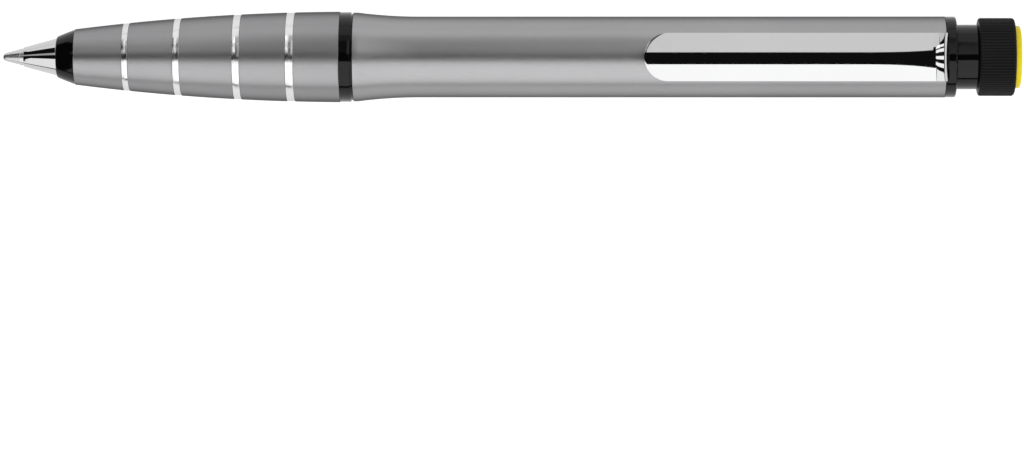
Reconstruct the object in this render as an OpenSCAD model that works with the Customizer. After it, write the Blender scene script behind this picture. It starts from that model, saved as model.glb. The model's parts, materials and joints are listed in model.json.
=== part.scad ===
// Telescopic twist-action ballpoint pen, held level at its barrel with the clip on top.
// The knob turns to draw the refill in, and it pulls out with the neck tube to lengthen the pen.
// All lengths are in millimetres and all angles in degrees.
// Stations along the pen are counted from the writing ball towards the knob.

/* [Refill] */
// Diameter of the writing ball
ball_d = 1; // [0.7:0.05:1.1]
// Play between the writing ball and its seat
ball_play = 0.01; // [0.01:0.005:0.02]
// Wall of the ball seat around the middle of the ball
seat_wall = 0.07; // [0.05:0.01:0.1]
// Share of the ball's radius by which the lip reaches past the middle of the ball
lip_share = 0.36; // [0.3:0.02:0.5]
// Half angle of the cone of the writing point
point_angle = 14; // [12:0.5:17]
// Diameter of the refill's shank and tube
refill_d = 2.35; // [2.25:0.01:2.45]
// Length of the refill from the ball to its rear end
refill_length = 67; // [66:0.1:68]
// Wall of the refill tube
refill_wall = 0.2; // [0.15:0.05:0.3]
// Length of the metal point from the ball to the tube
point_length = 7.5; // [6:0.1:9]
// Length of the spigots that plug into the refill tube
spigot_length = 2; // [1:0.1:3]
// Diameter of the ink channel and of the rear vent
channel_d = 0.5; // [0.3:0.05:0.8]
// Share of the free refill tube that the ink fills
ink_share = 0.84; // [0.2:0.02:0.95]
// Length of the head of the rear plug
plug_head = 0.6; // [0.4:0.1:1]
// Diameter of the bead swaged on the tube for the spring
bead_d = 3.3; // [3:0.05:3.4]
// Width of that bead
bead_width = 0.8; // [0.6:0.1:1.2]
// Travel of the refill between its writing place and its drawn-in place
refill_travel = 4.5; // [3.5:0.1:5]

/* [Return spring] */
// Outer diameter of the spring
spring_d = 3.3; // [3.1:0.05:3.4]
// Diameter of the spring wire
wire_d = 0.3; // [0.25:0.05:0.35]
// Length of the spring with the point out
spring_length = 11.5; // [10:0.5:13]
// Number of turns of the spring
spring_turns = 8; // [6:1:9]

/* [Nose and grip] */
// Length of bare refill that stands out of the nose
point_reach = 2.8; // [2.5:0.1:3.5]
// Length of the chrome nose
nose_length = 4.35; // [4:0.05:5]
// Wall of the nose at its front edge
nose_lip = 0.14; // [0.1:0.02:0.3]
// Diameter of the chrome nose at its rear
nose_rear_d = 5.2; // [5.1:0.02:5.3]
// Depth of the nose's spring seat behind its front edge
seat_depth = 3; // [2.8:0.1:3.4]
// Diameter of the spring room
room_d = 3.6; // [3.5:0.02:3.7]
// Diameter of the spigot behind the nose
nose_spigot_d = 4.6; // [4.4:0.05:4.8]
// Length of the spigot behind the nose
nose_spigot_length = 5.8; // [5:0.1:8]
// Length of the black cone that shows
cone_length = 2.25; // [1.8:0.05:3]
// Front diameter of the black cone
cone_front_d = 5.34; // [5.3:0.02:5.6]
// Height by which the black cone bulges over a straight taper
cone_bulge_height = 0.02; // [0:0.02:0.2]
// Length of the spigot behind the black cone
cone_spigot_length = 1.65; // [1:0.05:2.5]
// Length from the rear of the grip to the guide tube of the twist mechanism
joint_room_length = 14; // [12:0.1:16]
// Front diameter of the grip
grip_front_d = 7.2; // [7.1:0.02:8]
// Rear diameter of the grip
grip_rear_d = 11.8; // [11.6:0.05:12.5]
// Height by which the grip bulges over a straight taper
grip_bulge_height = 0.5; // [0.2:0.02:0.52]
// Bore of the grip at its front
grip_bore_d = 5.9; // [5.6:0.05:6.1]
// Share of the grip's length that has the narrow front bore
narrow_share = 0.347; // [0.32:0.005:0.4]
// Diameter of the threaded core inside the rear of the grip
core_d = 8.4; // [8:0.1:8.5]
// Share of the grip's length from its front to the middle of its first ring
ring_1_share = 0.1968; // [0.18:0.0004:0.23]
// Share of the grip's length from its front to the middle of its second ring
ring_2_share = 0.3904; // [0.37:0.0004:0.42]
// Share of the grip's length from its front to the middle of its third ring
ring_3_share = 0.6148; // [0.59:0.0004:0.64]
// Share of the grip's length from its front to the middle of its fourth ring
ring_4_share = 0.8152; // [0.79:0.0004:0.85]
// Width of the first ring
ring_1_width = 0.8; // [0.6:0.02:1.1]
// Width of the fourth ring
ring_4_width = 1.04; // [0.8:0.02:1.3]
// Depth of the grooves that hold the rings
ring_depth = 0.35; // [0.25:0.05:0.4]
// Height by which the rings lie under the grip's surface
ring_recess = 0.03; // [0:0.01:0.06]

/* [Joint and barrel] */
// Length of the black ring between grip and barrel
joint_length = 1.7; // [1.2:0.1:2.5]
// Diameter of that ring
joint_d = 11.7; // [11.3:0.05:11.8]
// Width of the groove at the rear of that ring
joint_groove = 0.25; // [0.15:0.05:0.5]
// Length of the threaded joint inside the barrel
thread_length = 8; // [6:0.5:10]
// Length of the barrel behind the drive sleeve's shaft
rear_room_length = 12.4; // [11.5:0.1:15]
// Diameter of the barrel
barrel_d = 10.5; // [10.4:0.02:10.6]
// Bore of the barrel
barrel_bore_d = 9.5; // [9.4:0.02:9.6]
// Diameter of the barrel's flared front end
flare_d = 11.54; // [11:0.01:11.8]
// Length of the straight lip in front of the flare
flare_lip_length = 0.6; // [0.2:0.1:1]
// Length of the flare
flare_length = 8; // [5:0.5:12]

/* [Collar and neck] */
// Length of the collar that shows behind the barrel
collar_length = 1.4; // [1.2:0.05:2]
// Rounding of the collar's rear edge
collar_round = 0.25; // [0.1:0.05:0.4]
// Length of the guide sleeve in front of the lugs with the pen closed
guide_front_length = 0.9; // [0.5:0.1:3]
// Diameter of the neck tube
neck_d = 8.4; // [8.3:0.02:8.5]
// Bore of the neck tube
neck_bore_d = 6.8; // [6.7:0.02:6.9]
// Length of the neck that shows with the pen closed
neck_gap = 2.8; // [2:0.1:4]
// Distance by which the neck and knob pull out
neck_travel = 20; // [15:0.5:22]
// Length of the lugs that key the neck tube
lug_length = 2; // [1.5:0.1:3]
// Width of the lugs
lug_width = 1.5; // [1:0.1:2]
// Diameter over the lugs
lug_span = 9.3; // [9.2:0.02:9.35]
// Length of guide sleeve behind the lugs' stop
stop_length = 4.6; // [4.5:0.1:5]
// Diameter of the friction ring's cord
oring_d = 0.34; // [0.3:0.02:0.38]

/* [Knob] */
// Diameter of the knob
knob_d = 10.1; // [10:0.05:10.6]
// Length of the knob
knob_length = 4.8; // [4.5:0.1:6]
// Rounding of the knob's edges
knob_round = 0.4; // [0.2:0.05:0.6]
// Number of straight knurl ribs
knurl_count = 80; // [60:4:96]
// Depth of the knurl
knurl_depth = 0.1; // [0.05:0.01:0.15]
// Length of the knob's hub inside the neck tube
hub_length = 5.6; // [5.2:0.1:6]
// Distance from the knob to its retaining ring
knob_ring_place = 3.7; // [3.4:0.1:4]
// Width of the retaining ring
knob_ring_width = 0.5; // [0.4:0.05:0.6]
// Height of the retaining ring outside the hub
knob_ring_height = 0.3; // [0.2:0.02:0.34]
// Gap in the split retaining ring
knob_ring_gap = 2; // [1:0.1:3]
// Diameter of the end insert
insert_d = 8.1; // [7.6:0.05:8.4]
// Height by which the end insert stands out of the knob
insert_proud = 0.9; // [0.5:0.05:1.2]
// Depth of the end insert inside the knob
insert_depth = 1.3; // [1:0.1:1.6]
// Rounding of the end insert's rear edge
insert_round = 0.25; // [0.1:0.05:0.4]

/* [Clip] */
// Width of the clip
clip_width = 6.2; // [5.6:0.1:6.6]
// Length of the clip from its round end to the outside of its leg
clip_length = 39.25; // [34:0.05:42]
// Height of the clip's top above the barrel
clip_rise = 2.75; // [2.6:0.05:3]
// Thickness of the clip's sheet
clip_sheet = 0.45; // [0.4:0.05:0.5]
// Height of the crown across the clip's width
clip_crown = 0.55; // [0.3:0.05:0.6]
// Outer radius of the bend above the clip's leg
bend_r = 1.9; // [1.7:0.05:2]
// Width of the clip's leg where it enters the barrel
leg_width = 4; // [3:0.1:4.4]
// Depth of the clip's foot below the barrel's surface
foot_depth = 0.8; // [0.6:0.05:0.85]
// Distance by which the outside of the leg stands behind the barrel's rear end, in the collar's notch
leg_reach = 0.25; // [0.1:0.05:0.5]
// Play behind the leg, in the collar's notch
leg_play = 0.05; // [0.04:0.01:0.1]
// Length of the notch for the leg, from the barrel's rear end forwards
notch_length = 0.75; // [0.7:0.05:1.3]
// Play at each side of the leg in its notch
notch_play = 0.15; // [0.1:0.05:0.3]
// Diameter of the ball under the clip
clip_ball_d = 2.3; // [2.1:0.02:2.32]
// Distance from the clip's round end to its ball
clip_ball_place = 3.2; // [2.8:0.1:5]
// Air between the clip's ball and the barrel
clip_air = 0.05; // [0.02:0.01:0.1]

/* [Twist mechanism] */
// Play of every piece that slides or turns in another, on the radius
slide_play = 0.05; // [0.03:0.01:0.06]
// Diameter of the plunger
plunger_d = 3.9; // [3.7:0.05:4.1]
// Length of the plunger's cup, which holds the refill's rear end
cup_length = 6; // [4:0.5:7]
// Length of the plunger behind the refill
plunger_back = 6; // [5.5:0.1:6.5]
// Distance from the refill's rear end to the cross pin
pin_place = 3; // [2.5:0.1:4]
// Diameter of the cross pin
pin_d = 1.2; // [1:0.05:1.3]
// Distance by which the pin's tip stays inside the drive sleeve's surface
pin_short = 0.1; // [0.05:0.05:0.3]
// Share of the plunger's radius that the pin goes past its middle
pin_root_share = 0.75; // [0.5:0.05:0.9]
// Wall of the guide tube
guide_wall = 0.7; // [0.6:0.05:0.75]
// Thickness of the guide tube's flange
flange_length = 2; // [1:0.1:2.5]
// Distance from the refill's rear end back to the guide tube's front
guide_front = 9; // [8.5:0.1:10]
// Distance from the refill's rear end to the guide tube's rear
guide_rear = 12; // [11.5:0.1:12.2]
// Wall of the drive sleeve
drive_wall = 1; // [0.9:0.02:1.04]
// Distance from the refill's rear end to the drive sleeve's web
web_place = 13; // [12.8:0.1:14]
// Thickness of the drive sleeve's web
web_length = 2; // [1.5:0.1:3]
// Diameter of the drive sleeve's shaft
shaft_d = 4.4; // [4.2:0.05:4.6]
// Length of the rod that stays in the drive sleeve's shaft with the neck pulled out
rod_hold_length = 6.5; // [4:0.5:8]
// Thickness of the housing's rear flange
housing_flange = 1.9; // [1.5:0.1:2.5]
// Width across the flats of the hexagon rod
hex_width = 2.4; // [2.2:0.05:2.6]
// Length of the socket in front of the rod
rod_gap_length = 1.5; // [1:0.1:2.5]
// Length of the rod inside the knob, past its hub
rod_root_length = 1.65; // [1:0.05:1.8]

/* [Hidden] */
$fn = 96;
// Named overrun of every cut past the face that it leaves
overrun = 0.1;
// Straight steps in each formula curve
curve_steps = 24;
// Cuts that make up the half turn of the helical slot
slot_cuts = 30;
// Extra radius of those cuts, so that the scallops between them clear the pin
scallop = 0.04;
// Turn of the drive sleeve between the refill's two places
half_turn = 180;
// Corners of the hexagon rod and its socket
hex_sides = 6;
// Spring wire: sides of its section and rings in each turn
wire_sides = 6;
turn_rings = 8;

// Radii worked out from the diameters
ball_r = ball_d / 2;
refill_r = refill_d / 2;
refill_bore_r = refill_r - refill_wall;
room_r = room_d / 2;
grip_front_r = grip_front_d / 2;
grip_rear_r = grip_rear_d / 2;
core_r = core_d / 2;
joint_r = joint_d / 2;
barrel_r = barrel_d / 2;
barrel_bore_r = barrel_bore_d / 2;
flare_r = flare_d / 2;
neck_r = neck_d / 2;
neck_bore_r = neck_bore_d / 2;
knob_r = knob_d / 2;
hub_r = neck_bore_r - slide_play;
plunger_r = plunger_d / 2;
guide_bore_r = plunger_r + slide_play;
guide_r = guide_bore_r + guide_wall;
drive_bore_r = guide_r + 2 * slide_play;
drive_r = drive_bore_r + drive_wall;
shaft_r = shaft_d / 2;
pin_r = pin_d / 2;
hex_r = hex_width / 2 / cos(half_turn / hex_sides);
socket_r = (hex_width / 2 + slide_play) / cos(half_turn / hex_sides);

// Stations along the pen
z_nose = point_reach;
z_seat = z_nose + seat_depth;
z_bead = z_seat + spring_length;
z_cone = z_nose + nose_length;
z_grip = z_cone + cone_length;
z_pin = refill_length + pin_place;
z_guide_front = refill_length - guide_front;
z_housing = z_guide_front + flange_length;
z_web = refill_length + web_place;
z_shaft = z_web + web_length;
z_rod = z_shaft + rod_gap_length;
z_shaft_end = z_rod + neck_travel + rod_hold_length;
z_joint = z_guide_front - joint_room_length;
z_barrel = z_joint + joint_length;
z_flare_end = z_barrel + flare_lip_length + flare_length;
z_collar = z_shaft_end + rear_room_length;
z_neck = z_collar + collar_length;
z_knob = z_neck + neck_gap;
z_knob_end = z_knob + knob_length;
pen_length = z_knob_end + insert_proud;
z_stop = z_collar - stop_length;
z_neck_front = z_stop - lug_length - neck_travel;
z_guide_sleeve = z_neck_front - guide_front_length;
z_hub = z_knob - hub_length;
z_knob_ring = z_knob - knob_ring_place;
z_oring = (z_stop + z_collar - notch_length) / 2;
z_leg = z_collar + leg_reach;
z_clip_end = z_leg - clip_length;
grip_length = z_joint - z_grip;

// Station that the pen is held at: the middle of the straight barrel between its flare and the clip
z_hold = (z_flare_end + z_clip_end) / 2;

// Rise of an arch of height 1 over a span from 0 to 1
function arch(t) = 4 * t * (1 - t);

// Points of a tapered outline with an outward bulge, as [radius, station]
function bulged(z0, r0, z1, r1, bulge) =
    [for (i = [0:curve_steps]) let (t = i / curve_steps)
        [r0 + (r1 - r0) * t + bulge * arch(t), z0 + (z1 - z0) * t]];

// Radius of the grip at a distance from its front
function grip_radius(place) =
    let (t = place / grip_length)
    grip_front_r + (grip_rear_r - grip_front_r) * t + grip_bulge_height * arch(t);

// Points of the barrel's flare, which eases into the straight tube
function flare_points() =
    [for (i = [0:curve_steps]) let (t = i / curve_steps)
        [barrel_r + (flare_r - barrel_r) * pow(1 - t, 2), z_flare_end - flare_length * (1 - t)]];

// Places the pen's own axis, which runs up, along the pen as it is held: its +x side faces down
module lay() {
    translate([-z_hold, 0, 0]) rotate([0, 90, 0]) children();
}

// Places pieces drawn with x along the pen and z up from its axis
module upright() {
    translate([-z_hold, 0, 0]) children();
}

// Round tube between two stations
module tube(z0, z1, outer_r, bore_r) {
    rotate_extrude()
        polygon([[bore_r, z0], [outer_r, z0], [outer_r, z1], [bore_r, z1]]);
}

// Round bar between two stations
module bar(z0, z1, r) {
    translate([0, 0, z0]) cylinder(r = r, h = z1 - z0);
}

// Hexagon bar between two stations
module hex_bar(z0, z1, r) {
    translate([0, 0, z0]) cylinder(r = r, h = z1 - z0, $fn = hex_sides);
}

// Quarter-round corner of an outline, centred on [r, z], as points from one angle to another
function corner(r, z, radius, from, to) =
    [for (i = [0:curve_steps / 4]) let (a = from + (to - from) * 4 * i / curve_steps)
        [r + radius * cos(a), z + radius * sin(a)]];

module writing_ball() {
    color("silver") lay() translate([0, 0, ball_r]) sphere(r = ball_r);
}

// Metal point: a cone from the lip around the ball to the shank, with a spigot for the tube
module refill_tip() {
    middle_r = ball_r + ball_play + seat_wall;
    z_lip = ball_r * (1 - lip_share);
    lip_r = middle_r - (ball_r - z_lip) * tan(point_angle);
    z_shoulder = ball_r + (refill_r - middle_r) / tan(point_angle);
    z_end = point_length + spigot_length;
    color("goldenrod") lay() difference() {
        rotate_extrude()
            polygon([[0, z_lip], [lip_r, z_lip], [refill_r, z_shoulder], [refill_r, point_length],
                [refill_bore_r, point_length], [refill_bore_r, z_end], [0, z_end]]);
        translate([0, 0, ball_r]) sphere(r = ball_r + ball_play);
        bar(ball_r, z_end + overrun, channel_d / 2);
    }
}

module refill_tube() {
    color("lightsteelblue") lay() {
        tube(point_length, refill_length - plug_head, refill_r, refill_bore_r);
        tube(z_bead, z_bead + bead_width, bead_d / 2, refill_r);
    }
}

module ink_column() {
    z_front = point_length + spigot_length;
    z_rear = refill_length - plug_head - spigot_length;
    color("navy") lay() bar(z_front, z_front + (z_rear - z_front) * ink_share, refill_bore_r);
}

module refill_plug() {
    color("white") lay() difference() {
        union() {
            bar(refill_length - plug_head, refill_length, refill_r);
            bar(refill_length - plug_head - spigot_length, refill_length - plug_head, refill_bore_r);
        }
        bar(refill_length - plug_head - spigot_length - overrun, refill_length + overrun, channel_d / 2);
    }
}

// The spring's wire is one tube swept along a helix
wire_r = wire_d / 2;
coil_r = spring_d / 2 - wire_r;
coil_rings = spring_turns * turn_rings;
coil_pitch = (spring_length - wire_d) / spring_turns;
coil_slope = atan(coil_pitch / (360 * coil_r * PI / half_turn));

// Point k of the wire's section on ring i
function wire_point(i, k) =
    let (
        turn = 360 * i / turn_rings,
        side = 360 * k / wire_sides,
        out = coil_r + wire_r * cos(side),
        along = z_seat + wire_r + coil_pitch * i / turn_rings + wire_r * sin(side) * cos(coil_slope),
        back = wire_r * sin(side) * sin(coil_slope)
    )
    [out * cos(turn) + back * sin(turn), out * sin(turn) - back * cos(turn), along];

module return_spring() {
    points = [for (i = [0:coil_rings]) for (k = [0:wire_sides - 1]) wire_point(i, k)];
    walls = [for (i = [0:coil_rings - 1]) for (k = [0:wire_sides - 1])
        let (a = i * wire_sides + k, b = i * wire_sides + (k + 1) % wire_sides)
        each [[a, a + wire_sides, b], [b, a + wire_sides, b + wire_sides]]];
    ends = [[for (k = [0:wire_sides - 1]) k],
        [for (k = [wire_sides - 1:-1:0]) coil_rings * wire_sides + k]];
    color("gray") lay() polyhedron(points = points, faces = concat(walls, ends));
}

// Chrome nose: straight cone with the spring room behind its guide bore
module nose_tip() {
    bore_r = refill_r + slide_play;
    z_end = z_cone + nose_spigot_length;
    color("silver") lay() rotate_extrude()
        polygon([[bore_r, z_nose], [bore_r + nose_lip, z_nose], [nose_rear_d / 2, z_cone],
            [nose_spigot_d / 2, z_cone], [nose_spigot_d / 2, z_end], [room_r, z_end],
            [room_r, z_seat], [bore_r, z_seat]]);
}

module nose_cone() {
    z_end = z_grip + cone_spigot_length;
    color("black") lay() rotate_extrude()
        polygon(concat(bulged(z_cone, cone_front_d / 2, z_grip, grip_front_r, cone_bulge_height),
            [[grip_bore_d / 2, z_grip], [grip_bore_d / 2, z_end], [nose_spigot_d / 2, z_end],
            [nose_spigot_d / 2, z_cone]]));
}

// Threaded core, drawn plain at the thread's middle diameter
module front_core() {
    z_front = z_grip + cone_spigot_length;
    z_pocket = z_cone + nose_spigot_length;
    z_end = z_barrel + thread_length;
    color("goldenrod") lay() rotate_extrude()
        polygon([[nose_spigot_d / 2, z_front], [grip_bore_d / 2, z_front], [grip_bore_d / 2, z_narrow],
            [core_r, z_narrow], [core_r, z_end], [room_r, z_end], [room_r, z_pocket],
            [nose_spigot_d / 2, z_pocket]]);
}

// Station where the narrow bore of the grip ends
z_narrow = z_grip + grip_length * narrow_share;

// Places and widths of the four rings, the widths in even steps from the first to the fourth
ring_places = grip_length * [ring_1_share, ring_2_share, ring_3_share, ring_4_share];
function ring_width(i) = ring_1_width + (ring_4_width - ring_1_width) * i / (len(ring_places) - 1);

module grip_sleeve() {
    color("darkgray") lay() difference() {
        rotate_extrude()
            polygon(concat(bulged(z_grip, grip_front_r, z_joint, grip_rear_r, grip_bulge_height),
                [[core_r, z_joint], [core_r, z_narrow], [grip_bore_d / 2, z_narrow],
                [grip_bore_d / 2, z_grip]]));
        for (i = [0:len(ring_places) - 1]) {
            half = ring_width(i) / 2;
            z_middle = z_grip + ring_places[i];
            floor_r = grip_radius(ring_places[i]) - ring_depth;
            tube(z_middle - half, z_middle + half, grip_rear_r + overrun, floor_r);
        }
    }
}

// One polished ring, whose outside follows the grip
module grip_ring(i) {
    front = ring_places[i] - ring_width(i) / 2;
    rear = ring_places[i] + ring_width(i) / 2;
    floor_r = grip_radius(ring_places[i]) - ring_depth;
    color("white") lay() rotate_extrude()
        polygon([[floor_r, z_grip + front], [grip_radius(front) - ring_recess, z_grip + front],
            [grip_radius(rear) - ring_recess, z_grip + rear], [floor_r, z_grip + rear]]);
}

module grip_ring_1() { grip_ring(0); }
module grip_ring_2() { grip_ring(1); }
module grip_ring_3() { grip_ring(2); }
module grip_ring_4() { grip_ring(3); }

module joint_ring() {
    z_groove = z_barrel - joint_groove;
    color("black") lay() rotate_extrude()
        polygon([[core_r, z_joint], [joint_r, z_joint], [joint_r, z_groove],
            [joint_r - joint_groove, z_groove], [joint_r - joint_groove, z_barrel], [core_r, z_barrel]]);
}

module barrel_insert() {
    color("goldenrod") lay() tube(z_barrel, z_barrel + thread_length, barrel_bore_r, core_r);
}

// Notch for the clip's leg at the top of the joint of barrel and collar, down to the neck tube
module clip_notch(past_end) {
    notch_width = leg_width + 2 * notch_play;
    height = clip_rise + foot_depth;
    upright() translate([z_collar - notch_length, -notch_width / 2, neck_r])
        cube([notch_length + past_end, notch_width, height]);
}

module barrel() {
    color("darkgray") difference() {
        lay() rotate_extrude()
            polygon(concat([[barrel_bore_r, z_barrel], [flare_r, z_barrel]], flare_points(),
                [[barrel_r, z_collar], [barrel_bore_r, z_collar]]));
        clip_notch(overrun);
    }
}

// Clip, drawn with x along the pen and z up from its axis
clip_top = barrel_r + clip_rise;
crown_r = (pow(clip_width / 2, 2) + pow(clip_crown, 2)) / (2 * clip_crown);
z_bend = z_leg - bend_r;
z_round = z_clip_end + clip_width / 2;
ball_height = barrel_r + clip_air + clip_ball_d / 2;

// Crowned section of the clip's sheet: its top middle is at the origin and its height runs along x
module clip_section() {
    depth = clip_crown + 2 * clip_sheet;
    intersection() {
        translate([-crown_r, 0]) difference() {
            circle(r = crown_r);
            circle(r = crown_r - clip_sheet);
        }
        translate([-depth, -clip_width / 2]) square([depth + overrun, clip_width]);
    }
}

module clip_plate() {
    translate([z_bend, 0, clip_top]) rotate([0, -90, 0]) linear_extrude(height = z_bend - z_round)
        clip_section();
}

module clip_bend() {
    translate([z_bend, 0, clip_top - bend_r]) rotate([90, 0, 0]) rotate_extrude(angle = 90)
        translate([bend_r, 0]) clip_section();
}

// Leg with a foot that narrows where it enters the barrel
module clip_leg() {
    top = clip_top - bend_r;
    foot = barrel_r - foot_depth;
    intersection() {
        translate([z_leg, 0, foot]) linear_extrude(height = top - foot) clip_section();
        translate([z_bend, 0, 0]) rotate([90, 0, 90]) linear_extrude(height = bend_r + overrun)
            polygon([[-clip_width / 2, top], [clip_width / 2, top], [leg_width / 2, barrel_r],
                [leg_width / 2, foot], [-leg_width / 2, foot], [-leg_width / 2, barrel_r]]);
    }
}

// Round free end, domed to the same radius as the crown
module clip_round_end() {
    depth = clip_crown + 2 * clip_sheet;
    translate([z_round, 0, clip_top - crown_r]) intersection() {
        difference() {
            sphere(r = crown_r);
            sphere(r = crown_r - clip_sheet);
        }
        translate([0, 0, crown_r - depth]) cylinder(r = clip_width / 2, h = depth + overrun);
        translate([-clip_width / 2, -clip_width / 2, crown_r - depth])
            cube([clip_width / 2, clip_width, depth + overrun]);
    }
}

module clip_ball_solid() {
    translate([z_clip_end + clip_ball_place, 0, ball_height]) sphere(r = clip_ball_d / 2);
}

module clip() {
    color("silver") upright() difference() {
        union() {
            clip_round_end();
            clip_plate();
            clip_bend();
            clip_leg();
        }
        clip_ball_solid();
    }
}

module clip_ball() {
    color("silver") upright() clip_ball_solid();
}

// Guide sleeve: a liner with slots for the lugs, a groove for the friction ring and the collar as flange
module guide_sleeve() {
    bore_r = neck_r + slide_play;
    oring_half = oring_d / 2 + slide_play;
    slot = lug_width + 2 * slide_play;
    color("black") difference() {
        lay() difference() {
            rotate_extrude()
                polygon(concat([[bore_r, z_guide_sleeve], [barrel_bore_r, z_guide_sleeve],
                    [barrel_bore_r, z_collar], [barrel_r, z_collar]],
                    corner(barrel_r - collar_round, z_neck - collar_round, collar_round, 0, 90),
                    [[bore_r, z_neck]]));
            tube(z_oring - oring_half, z_oring + oring_half, neck_r + oring_d + slide_play, neck_r);
            translate([-slot / 2, -barrel_r, z_guide_sleeve - overrun])
                cube([slot, barrel_d, z_stop + slide_play - z_guide_sleeve + overrun]);
        }
        clip_notch(leg_reach + leg_play);
    }
}

module friction_ring() {
    seat_r = neck_r + slide_play / 2 + oring_d / 2;
    color("dimgray") lay() translate([0, 0, z_oring]) rotate_extrude()
        translate([seat_r, 0]) circle(d = oring_d);
}

module neck_tube() {
    groove_half = knob_ring_width / 2 + slide_play;
    groove_r = hub_r + knob_ring_height + slide_play;
    color("black") lay() difference() {
        union() {
            tube(z_neck_front, z_knob - slide_play, neck_r, neck_bore_r);
            intersection() {
                tube(z_neck_front, z_neck_front + lug_length, lug_span / 2, neck_bore_r);
                translate([-lug_width / 2, -lug_span / 2, z_neck_front])
                    cube([lug_width, lug_span, lug_length]);
            }
        }
        tube(z_knob_ring - groove_half, z_knob_ring + groove_half, groove_r, hub_r);
    }
}

// Outline of the straight knurl, as a star with one valley between each two ribs
function knurl_points() =
    [for (i = [0:2 * knurl_count - 1])
        let (a = half_turn * i / knurl_count, r = knob_r - knurl_depth * (i % 2))
        [r * cos(a), r * sin(a)]];

module knob() {
    groove_half = knob_ring_width / 2;
    color("dimgray") lay() difference() {
        union() {
            intersection() {
                translate([0, 0, z_knob]) linear_extrude(height = knob_length) polygon(knurl_points());
                rotate_extrude()
                    polygon(concat([[0, z_knob]],
                        corner(knob_r - knob_round, z_knob + knob_round, knob_round, -90, 0),
                        corner(knob_r - knob_round, z_knob_end - knob_round, knob_round, 0, 90),
                        [[0, z_knob_end]]));
            }
            bar(z_hub, z_knob + rod_root_length, hub_r);
        }
        bar(z_knob_end - insert_depth, z_knob_end + overrun, insert_d / 2);
        hex_bar(z_hub - overrun, z_knob + rod_root_length, hex_r);
        tube(z_knob_ring - groove_half, z_knob_ring + groove_half, knob_r, hub_r - knob_ring_height);
    }
}

// Split retaining ring: half in the hub's groove, half in the neck tube's
module knob_ring() {
    half = knob_ring_width / 2;
    color("silver") lay() difference() {
        tube(z_knob_ring - half, z_knob_ring + half, hub_r + knob_ring_height, hub_r - knob_ring_height);
        translate([0, -knob_ring_gap / 2, z_knob_ring - knob_ring_width])
            cube([neck_r, knob_ring_gap, 2 * knob_ring_width]);
    }
}

module end_insert() {
    z_front = z_knob_end - insert_depth;
    insert_r = insert_d / 2;
    color("gold") lay() rotate_extrude()
        polygon(concat([[0, z_front], [insert_r, z_front]],
            corner(insert_r - insert_round, pen_length - insert_round, insert_round, 0, 90),
            [[0, pen_length]]));
}

module drive_rod() {
    color("silver") lay() hex_bar(z_rod, z_knob + rod_root_length, hex_r);
}

// Drive sleeve: the front holds the helical slot for the pin, the shaft holds the hexagon socket
module drive_sleeve() {
    cut_r = pin_r + slide_play + scallop;
    z_front = z_housing + slide_play;
    color("ivory") lay() difference() {
        union() {
            tube(z_front, z_web, drive_r, drive_bore_r);
            bar(z_web, z_shaft, drive_r);
            bar(z_shaft, z_shaft_end, shaft_r);
        }
        hex_bar(z_shaft, z_shaft_end + overrun, socket_r);
        for (i = [0:slot_cuts]) {
            share = i / slot_cuts;
            rotate([0, 0, -half_turn * share]) translate([0, 0, z_pin + refill_travel * share])
                rotate([0, 90, 0]) cylinder(r = cut_r, h = drive_r + overrun);
        }
    }
}

module mechanism_housing() {
    bore_r = drive_r + slide_play;
    z_flange = z_shaft + slide_play;
    color("white") lay() rotate_extrude()
        polygon([[bore_r, z_housing], [barrel_bore_r, z_housing], [barrel_bore_r, z_flange + housing_flange],
            [shaft_r + slide_play, z_flange + housing_flange], [shaft_r + slide_play, z_flange],
            [bore_r, z_flange]]);
}

// Guide tube: its straight slot lets the pin slide and keeps it from turning
module guide_tube() {
    half = pin_r + slide_play;
    color("tan") lay() difference() {
        union() {
            tube(z_guide_front, z_housing, barrel_bore_r, guide_bore_r);
            tube(z_housing, refill_length + guide_rear, guide_r, guide_bore_r);
        }
        translate([0, -half, z_pin - half]) cube([drive_r, 2 * half, refill_travel + 2 * half]);
    }
}

module plunger() {
    color("white") lay() difference() {
        bar(refill_length - cup_length, refill_length + plunger_back, plunger_r);
        bar(refill_length - cup_length - overrun, refill_length, refill_r);
        follower_pin_solid();
    }
}

module follower_pin_solid() {
    root = plunger_r * pin_root_share;
    translate([-root, 0, z_pin]) rotate([0, 90, 0]) cylinder(r = pin_r, h = root + drive_r - pin_short);
}

module follower_pin() {
    color("silver") lay() follower_pin_solid();
}

writing_ball();
refill_tip();
refill_tube();
ink_column();
refill_plug();
return_spring();
nose_tip();
nose_cone();
front_core();
grip_sleeve();
grip_ring_1();
grip_ring_2();
grip_ring_3();
grip_ring_4();
joint_ring();
barrel_insert();
barrel();
clip();
clip_ball();
guide_sleeve();
friction_ring();
neck_tube();
knob();
knob_ring();
end_insert();
drive_rod();
drive_sleeve();
mechanism_housing();
guide_tube();
plunger();
follower_pin();
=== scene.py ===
"""Looks of the telescopic pen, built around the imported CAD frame.

Lengths are millimetres unless they say otherwise. The pen's axis is the X axis and the clip is on top (+Z).
x is counted from the frame's origin, which is the middle of the straight barrel.
"""
import json
import math

import bmesh
import bpy
from mathutils import Matrix, Vector


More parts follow.
